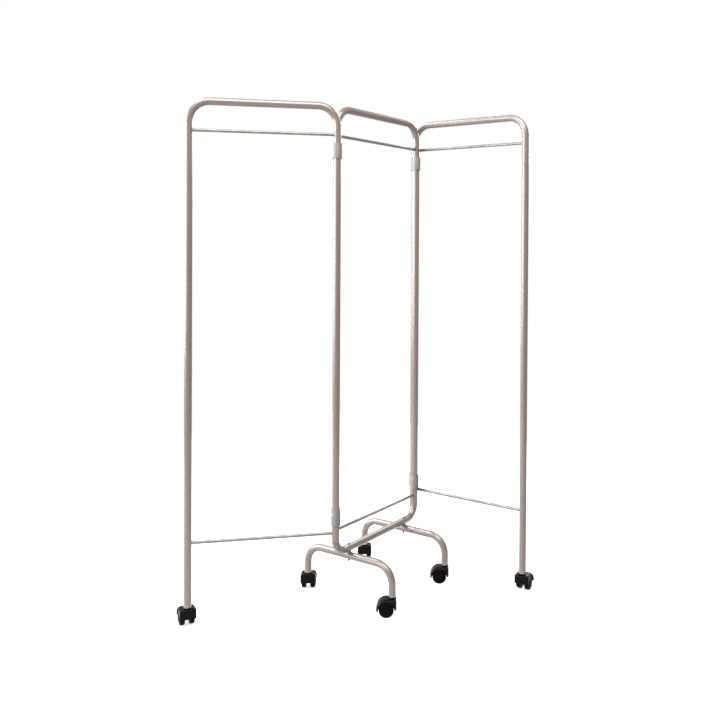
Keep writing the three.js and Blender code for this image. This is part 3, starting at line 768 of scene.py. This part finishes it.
def hood_bowl(border):
    """The skin from a block of the hood's outside to the bowl's rim, then the bowl and the stem's hole.

    The rim is a circle seen from above. On the level run, a rim point's length along the path is its place
    forward of the stem. Past that, its corner angle has the remaining distance, over the corner's radius, as
    its sine.
    """
    stem = HOOD_ARC + CASTOR_TRAIL
    facing = np.arctan2(border[:, 1], border[:, 0] - stem)
    lip = BOWL_RADIUS + BOWL_LIP
    forward = lip * np.cos(facing)
    level = HOOD_FRONT - HOOD_FRONT_ROUND
    past = np.arcsin(np.clip((forward - level) / HOOD_FRONT_ROUND, 0, 1))
    rim = np.stack([stem + np.minimum(forward, level) + HOOD_FRONT_ROUND * past, lip * np.sin(facing)], -1)
    flat = rayed(border, rim, RAY_STEPS + HOOD_BORDER_STEPS)
    skin = hood_surface(flat[..., 0], flat[..., 1])
    x, y, rim_height = skin[-1].T
    rounded = [(radius, rim_height + drop) for radius, drop in arc((lip, -BOWL_LIP), BOWL_LIP, 1, 2)[1:]]
    floor = HOOD_TOP - BOWL_DEPTH
    ease = arc((BOWL_FLOOR_RADIUS, floor + BOWL_FLOOR_EASE), BOWL_FLOOR_EASE, 0, -1)
    hole = STEM_RADIUS + FIT_GAP
    end = STEM_FOOT - FIT_GAP
    rows = [*rounded, *ease, (hole + STEM_EASE, floor), (hole, floor - STEM_EASE), (hole, end), (0, end)]
    points = np.concatenate([skin.reshape(-1, 3), ring_rows(np.arctan2(y, x), rows)])
    return points, flipped([grid_faces(len(skin) + len(rows), len(border))])


def castor_hood():
    """The hood: its outside with a bowl round the stem, its wheel spaces, middle web and the axle's boss."""
    rows, columns = hood_rows(), hood_columns()
    loop = np.concatenate([hood_surface(*np.meshgrid(rows, columns, indexing="ij")), hood_inside(rows)], 1)
    count = loop.shape[1]
    first, left = HOOD_ARC_STEPS + HOOD_BORDER_STEPS, HOOD_SHOULDER_STEPS - HOOD_BLOCK_INSET
    last, right = first + HOOD_BLOCK_STEPS, len(columns) - 1 - left
    faces = grid_faces(len(rows), count)
    row, column = np.arange(len(faces)) // count, np.arange(len(faces)) % count
    in_block = (row >= first) & (row < last) & (column >= left) & (column < right)
    rear = np.arange(count)[None, ::-1]
    front = np.arange(count)[None, :] + (len(rows) - 1) * count
    shell = (loop.reshape(-1, 3), [faces[~in_block], rear, front])
    block = block_border(first, last, left, right)
    bowl = hood_bowl(np.stack([rows[block[:, 0]], columns[block[:, 1]]], -1))
    boss_end = WEB_HALF_WIDTH + AXLE_BOSS_STEP
    profile = [(0, -boss_end), (AXLE_BOSS_RADIUS, -boss_end), (AXLE_BOSS_RADIUS, boss_end), (0, boss_end)]
    return combined(shell, bowl, on_axle(revolve(profile, FASTENER_SIDES)))


# Materials
def new_material(name):
    """A material, its node tree and its shader."""
    material = bpy.data.materials.new(name)
    material.use_nodes = True
    tree = material.node_tree
    return material, tree, tree.nodes["Principled BSDF"]


def object_place(tree):
    """The surface's place in the shared frame, in metres."""
    return tree.nodes.new("ShaderNodeTexCoord").outputs["Object"]


def noise(tree, scale, detail=2.0):
    """Soft noise with about `scale` patches to a metre."""
    made = tree.nodes.new("ShaderNodeTexNoise")
    made.inputs["Scale"].default_value = scale
    made.inputs["Detail"].default_value = detail
    tree.links.new(object_place(tree), made.inputs["Vector"])
    return made.outputs["Fac"]


def ramp(tree, factor, low, high, start=0.3, end=0.7):
    """A colour or, from two numbers, a grey that runs from `low` to `high`."""
    made = tree.nodes.new("ShaderNodeValToRGB")
    for element, place, value in zip(made.color_ramp.elements, (start, end), (low, high)):
        element.position = place
        element.color = (*value, 1) if isinstance(value, tuple) else (value, value, value, 1)
    tree.links.new(factor, made.inputs["Fac"])
    return made.outputs["Color"]


def mixed(tree, first, second, factor=None):
    """Two colours mixed by a socket's number, or half and half without one."""
    made = tree.nodes.new("ShaderNodeMix")
    made.data_type = "RGBA"
    if factor is not None:
        tree.links.new(factor, made.inputs["Factor"])
    tree.links.new(first, made.inputs["A"])
    tree.links.new(second, made.inputs["B"])
    return made.outputs["Result"]


def bump(tree, shader, height, depth):
    """A bump of the given depth in millimetres."""
    made = tree.nodes.new("ShaderNodeBump")
    made.inputs["Distance"].default_value = depth * METRES
    tree.links.new(height, made.inputs["Height"])
    tree.links.new(made.outputs["Normal"], shader.inputs["Normal"])


def near_foot(tree):
    """One on the band at a castor tube's foot, and none above it."""
    split = tree.nodes.new("ShaderNodeSeparateXYZ")
    tree.links.new(object_place(tree), split.inputs["Vector"])
    band = tree.nodes.new("ShaderNodeMapRange")
    band.inputs["From Min"].default_value = (FOOT_HEIGHT + FOOT_BAND) * METRES
    band.inputs["From Max"].default_value = (FOOT_HEIGHT + FOOT_BAND + FOOT_BAND_EDGE) * METRES
    band.inputs["To Min"].default_value = 1
    band.inputs["To Max"].default_value = 0
    tree.links.new(split.outputs["Z"], band.inputs["Value"])
    return band.outputs["Result"]


def coloured(tree, shader, colours, scale, detail=2.0):
    """A base colour that runs between the two `colours` over patches of noise."""
    tree.links.new(ramp(tree, noise(tree, scale, detail), *colours), shader.inputs["Base Color"])


def glossed(tree, shader, smooth, rough, scale, detail=2.0):
    """A roughness that runs from `smooth` to `rough` over patches of noise."""
    tree.links.new(ramp(tree, noise(tree, scale, detail), smooth, rough), shader.inputs["Roughness"])


def silver_paint():
    """Satin silver paint on steel: fine fleck, slow patches of tone, faint orange peel, a paler foot band."""
    material, tree, shader = new_material("silver_paint")
    fleck = ramp(tree, noise(tree, scale=2600, detail=1), *PAINT_FLECK)
    tone = ramp(tree, noise(tree, scale=9, detail=3), *PAINT_TONE)
    paint = mixed(tree, fleck, tone)
    at_foot = ramp(tree, noise(tree, scale=140, detail=3), *PAINT_AT_FOOT)
    tree.links.new(mixed(tree, paint, at_foot, near_foot(tree)), shader.inputs["Base Color"])
    glossed(tree, shader, smooth=0.22, rough=0.265, scale=60, detail=4)
    shader.inputs["Metallic"].default_value = 0.1
    shader.inputs["Specular IOR Level"].default_value = 1.0
    bump(tree, shader, noise(tree, scale=500), PAINT_PEEL)
    return material


def polished_rod():
    """Drawn steel, with fine marks in its gloss."""
    material, tree, shader = new_material("polished_rod")
    coloured(tree, shader, ROD_STEEL, scale=40, detail=3)
    glossed(tree, shader, smooth=0.20, rough=0.30, scale=900)
    shader.inputs["Metallic"].default_value = 0.6
    bump(tree, shader, noise(tree, scale=1500), ROD_MARKS)
    return material


def block_plastic():
    """Pale warm grey nylon with a moulded grain."""
    material, tree, shader = new_material("block_plastic")
    coloured(tree, shader, BLOCK_NYLON, scale=120, detail=4)
    glossed(tree, shader, smooth=0.42, rough=0.52, scale=500)
    shader.inputs["Specular IOR Level"].default_value = 0.35
    bump(tree, shader, noise(tree, scale=1400), BLOCK_GRAIN)
    return material


def plated_steel(name, colours):
    """Plated steel: slow tone, and fine turning marks in its gloss."""
    material, tree, shader = new_material(name)
    coloured(tree, shader, colours, scale=300, detail=3)
    glossed(tree, shader, smooth=0.28, rough=0.42, scale=700)
    shader.inputs["Metallic"].default_value = 1.0
    bump(tree, shader, noise(tree, scale=2200), TURNING_MARKS)
    return material


def black_plastic(name, colours, grain, smooth, rough, gloss):
    """Black moulded nylon: slow tone, rubbed patches in its gloss and a moulded grain of the given depth."""
    material, tree, shader = new_material(name)
    coloured(tree, shader, colours, scale=90, detail=3)
    glossed(tree, shader, smooth, rough, scale=160, detail=4)
    shader.inputs["Specular IOR Level"].default_value = gloss
    bump(tree, shader, noise(tree, scale=1800), grain)
    return material


def make_materials():
    """Every finish of the screen, by name."""
    plug = black_plastic("plug_plastic", PLUG_NYLON, PLUG_GRAIN, smooth=0.40, rough=0.55, gloss=0.2)
    hood = black_plastic("hood_plastic", HOOD_NYLON, HOOD_GRAIN, smooth=0.14, rough=0.22, gloss=0.06)
    wheel = black_plastic("wheel_plastic", WHEEL_NYLON, WHEEL_GRAIN, smooth=0.28, rough=0.42, gloss=0.035)
    return {
        "paint": silver_paint(),
        "rod": polished_rod(),
        "block": block_plastic(),
        "screw": plated_steel("zinc_plate", ZINC_PLATE),
        # Dark steel, partly painted shade for the stems and nuts that sit in shadow.
        "bolt": plated_steel("dark_steel_and_shade", DARK_STEEL_AND_SHADE),
        "plug": plug,
        "hood": hood,
        "wheel": wheel,
    }


# Floor, lamps and camera
def seen_directly(tree, otherwise, seen):
    """One number for rays from the camera, in gloss and through glass, and another for the rest."""
    path = tree.nodes.new("ShaderNodeLightPath")
    total = path.outputs["Is Camera Ray"]
    for name in ("Is Glossy Ray", "Is Transmission Ray"):
        added = tree.nodes.new("ShaderNodeMath")
        added.operation = "ADD"
        tree.links.new(total, added.inputs[0])
        tree.links.new(path.outputs[name], added.inputs[1])
        total = added.outputs[0]
    scaled = tree.nodes.new("ShaderNodeMapRange")
    scaled.inputs["To Min"].default_value = otherwise
    scaled.inputs["To Max"].default_value = seen
    tree.links.new(total, scaled.inputs["Value"])
    return scaled.outputs["Result"]


def floor_material():
    """White floor that keeps the screen's soft shadow."""
    material, tree, shader = new_material("floor_white")
    coloured(tree, shader, FLOOR_GREY, scale=3)
    shader.inputs["Roughness"].default_value = 0.9
    shader.inputs["Specular IOR Level"].default_value = 0.2
    shader.inputs["Emission Color"].default_value = WHITE
    tree.links.new(seen_directly(tree, 0, FLOOR_GLOW), shader.inputs["Emission Strength"])
    return material


def make_floor():
    """A level sheet under the castors: a square grid whose steps widen with the square of the way out."""
    share = np.linspace(-1, 1, FLOOR_STEPS + 1)
    line = np.sign(share) * share**2 * FLOOR_REACH
    x, y = np.meshgrid(line, line, indexing="ij")
    points = np.stack([x, y, np.zeros_like(x)], -1).reshape(-1, 3)
    faces = grid_faces(FLOOR_STEPS + 1, FLOOR_STEPS + 1, closed_columns=False)[:, ::-1]
    mesh = bpy.data.meshes.new("floor")
    mesh.from_pydata((points * METRES).tolist(), [], faces.tolist())
    mesh.materials.append(floor_material())
    made = bpy.data.objects.new("floor", mesh)
    bpy.context.scene.collection.objects.link(made)


def soft_lamp(name, place, size, power):
    """A rectangular lamp that faces the screen's middle."""
    lamp = bpy.data.lights.new(name, "AREA")
    lamp.shape = "RECTANGLE"
    lamp.size, lamp.size_y = size
    lamp.energy = power
    lamp.color = LAMP_TINT
    made = bpy.data.objects.new(name, lamp)
    made.location = place
    made.rotation_euler = (Vector(LAMP_TARGET) - Vector(place)).to_track_quat("-Z", "Y").to_euler()
    bpy.context.scene.collection.objects.link(made)


def make_lights():
    """Two windows to the left, a high panel behind, two ceiling lamps and an even white surround."""
    for name, lamp in LAMPS.items():
        soft_lamp(name, **lamp)
    world = bpy.data.worlds.new("surround")
    world.use_nodes = True
    back = world.node_tree.nodes["Background"]
    back.inputs["Color"].default_value = WHITE
    world.node_tree.links.new(seen_directly(world.node_tree, SURROUND_LIGHT, 1), back.inputs["Strength"])
    bpy.context.scene.world = world


def make_camera(centre):
    """The photograph's view, from a place beside the centre panel's middle."""
    data = bpy.data.cameras.new("camera")
    data.sensor_width, data.lens = SENSOR_WIDTH, CAMERA_LENS
    data.shift_x, data.shift_y = CAMERA_SHIFT
    camera = bpy.data.objects.new("camera", data)
    bpy.context.scene.collection.objects.link(camera)
    turned = Matrix.Rotation(math.radians(CAMERA_TURN) - QUARTER_TURN, 4, "Z")
    leaned = Matrix.Rotation(QUARTER_TURN - math.radians(CAMERA_LEAN), 4, "X")
    rolled = Matrix.Rotation(math.radians(CAMERA_ROLL), 4, "Z")
    place = Matrix.Translation((Vector(CAMERA_PLACE) + Vector(centre)) * METRES)
    camera.matrix_world = place @ turned @ leaned @ rolled
    bpy.context.scene.camera = camera
    bpy.context.scene.view_settings.view_transform = "Standard"


# The screen
def build_centre(centre, finish):
    """The centre panel's loop and rods, and the two legs with their spacers, bolts and nuts."""
    def put(name, shape, material, slot, node, turn=0.0, across=0.0):
        stood = placed(shape, turn, centre + at(across, 0))
        make_piece(name, stood, "centre_panel", [finish[material]], node)

    put("centre_loop", centre_tube(), "paint", "tube", "centre_frame")
    for level, height in (("top", TOP_ROD_HEIGHT), ("low", CENTRE_LOW_ROD)):
        shape = rod(-HALF_SPAN, HALF_SPAN, height)
        put(f"centre_{level}_curtain_rod", shape, "rod", "rod", f"centre_{level}_rod")
    leg, spacer, bolt, nut = leg_tube(), saddle(), leg_bolt(), leg_nut()
    for name, across in (("left_leg", -LEG_INSET), ("right_leg", LEG_INSET)):
        put(f"{name}_bow", leg, "paint", "tube", name, LEG_TURN, across)
        put(f"{name}_spacer", spacer, "paint", "plug", f"{name}_saddle", across=across)
        # The bolts and nuts take the dark steel, whose darkness is partly painted shade under the legs.
        put(f"{name}_round_bolt", bolt, "bolt", "steel", f"{name}_bolt", across=across)
        put(f"{name}_hex_nut", nut, "bolt", "steel", f"{name}_nut", across=across)


def build_wing(name, post, wing_turn, block_turn, post_foot, low_rod, finish):
    """One wing with its rods, foot plug, hinge blocks and screws. Returns its outer post's place."""
    inner = post + HINGE_SPACING * along(block_turn)

    def put(piece, shape, material, slot, node, turn=wing_turn, origin=inner):
        stood = placed(shape, turn, origin)
        make_piece(piece, stood, f"{name}_panel", [finish[material]], f"{name}_{node}")

    put(f"{name}_loop", wing_tube(post_foot, low_rod), "paint", "tube", "frame")
    for level, height in (("top", TOP_ROD_HEIGHT), ("low", low_rod)):
        put(f"{name}_{level}_curtain_rod", rod(0, PANEL_SPAN, height), "rod", "rod", f"{level}_rod")
    put(f"{name}_foot_plug", post_plug(post_foot), "plug", "plug", "post_plug")
    block, screw = hinge_block(), block_screw()
    levels = (("upper", UPPER_BLOCK_HEIGHT, -SCREW_OFFSET), ("lower", LOWER_BLOCK_HEIGHT, SCREW_OFFSET))
    for level, height, offset in levels:
        put(f"{name}_{level}_hinge", block, "block", "block", f"{level}_block",
            block_turn, post + at(0, 0, height))
        put(f"{name}_{level}_cross_screw", screw, "screw", "steel", f"{level}_screw",
            block_turn + SCREW_TURN, inner + at(0, 0, height + offset))
    return inner + PANEL_SPAN * along(wing_turn)


def build_castor(name, body, place, turn, shapes, finish):
    """One castor: its stem on the tube's body, its hood and axle on the swivel, and its two wheels."""
    def put(piece, node, on, materials, slot, painted=None):
        shape = placed(shapes[node], turn, place)
        finishes = [finish[material] for material in materials]
        make_piece(f"{name}_{piece}", shape, on, finishes, f"{name}_{node}", painted)

    socket = FOOT_HEIGHT - FIT_GAP - SOCKET_FLANGE - SOCKET_CLEARANCE
    # The stem takes the dark steel, whose darkness is partly painted shade for the shadow under the socket's
    # flange.
    put("stem_and_socket", "stem", body, ["bolt", "plug"], "castor_stem", lambda heights: heights > socket)
    put("cover", "hood", f"{name}_swivel", ["hood"], "castor_hood")
    put("pin", "axle", f"{name}_swivel", ["screw"], "steel")
    for number in (1, 2):
        put(f"disc_wheel_{number}", f"wheel_{number}", f"{name}_roller_{number}", ["wheel"], "castor_wheel")


def build_screen(centre):
    """Every piece of the screen, in its place and on its body."""
    finish = make_materials()
    build_centre(centre, finish)
    left = build_wing("left_wing", centre - at(HALF_SPAN, 0), LEFT_WING_TURN, LEFT_BLOCK_TURN,
                      LEFT_POST_FOOT, LEFT_LOW_ROD, finish)
    right = build_wing("right_wing", centre + at(HALF_SPAN, 0), RIGHT_WING_TURN, RIGHT_BLOCK_TURN,
                       RIGHT_POST_FOOT, RIGHT_LOW_ROD, finish)
    shapes = {"stem": castor_stem(), "hood": castor_hood(), "axle": castor_axle(),
              "wheel_1": castor_wheel(1), "wheel_2": castor_wheel(-1)}
    castors = [
        ("left_leg_front", "centre_panel", centre + at(-LEG_INSET, -FOOT_INSET), LEFT_LEG_FRONT_TURN),
        ("left_leg_back", "centre_panel", centre + at(-LEG_INSET, FOOT_INSET), LEFT_LEG_BACK_TURN),
        ("right_leg_front", "centre_panel", centre + at(LEG_INSET, -FOOT_INSET), RIGHT_LEG_FRONT_TURN),
        ("right_leg_back", "centre_panel", centre + at(LEG_INSET, FOOT_INSET), RIGHT_LEG_BACK_TURN),
        ("left_wing", "left_wing_panel", left, LEFT_WING_CASTOR_TURN),
        ("right_wing", "right_wing_panel", right, RIGHT_WING_CASTOR_TURN),
    ]
    for name, body, place, turn in castors:
        build_castor(name, body, place, turn, shapes, finish)


def middle_of_centre_panel():
    """The floor's place under the middle of the centre panel, from the solid model."""
    low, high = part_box("centre_frame")
    middle = (low + high) / 2 / METRES
    return at(middle.x, middle.y)


panel_middle = middle_of_centre_panel()
build_screen(panel_middle)
make_floor()
make_lights()
make_camera(panel_middle)
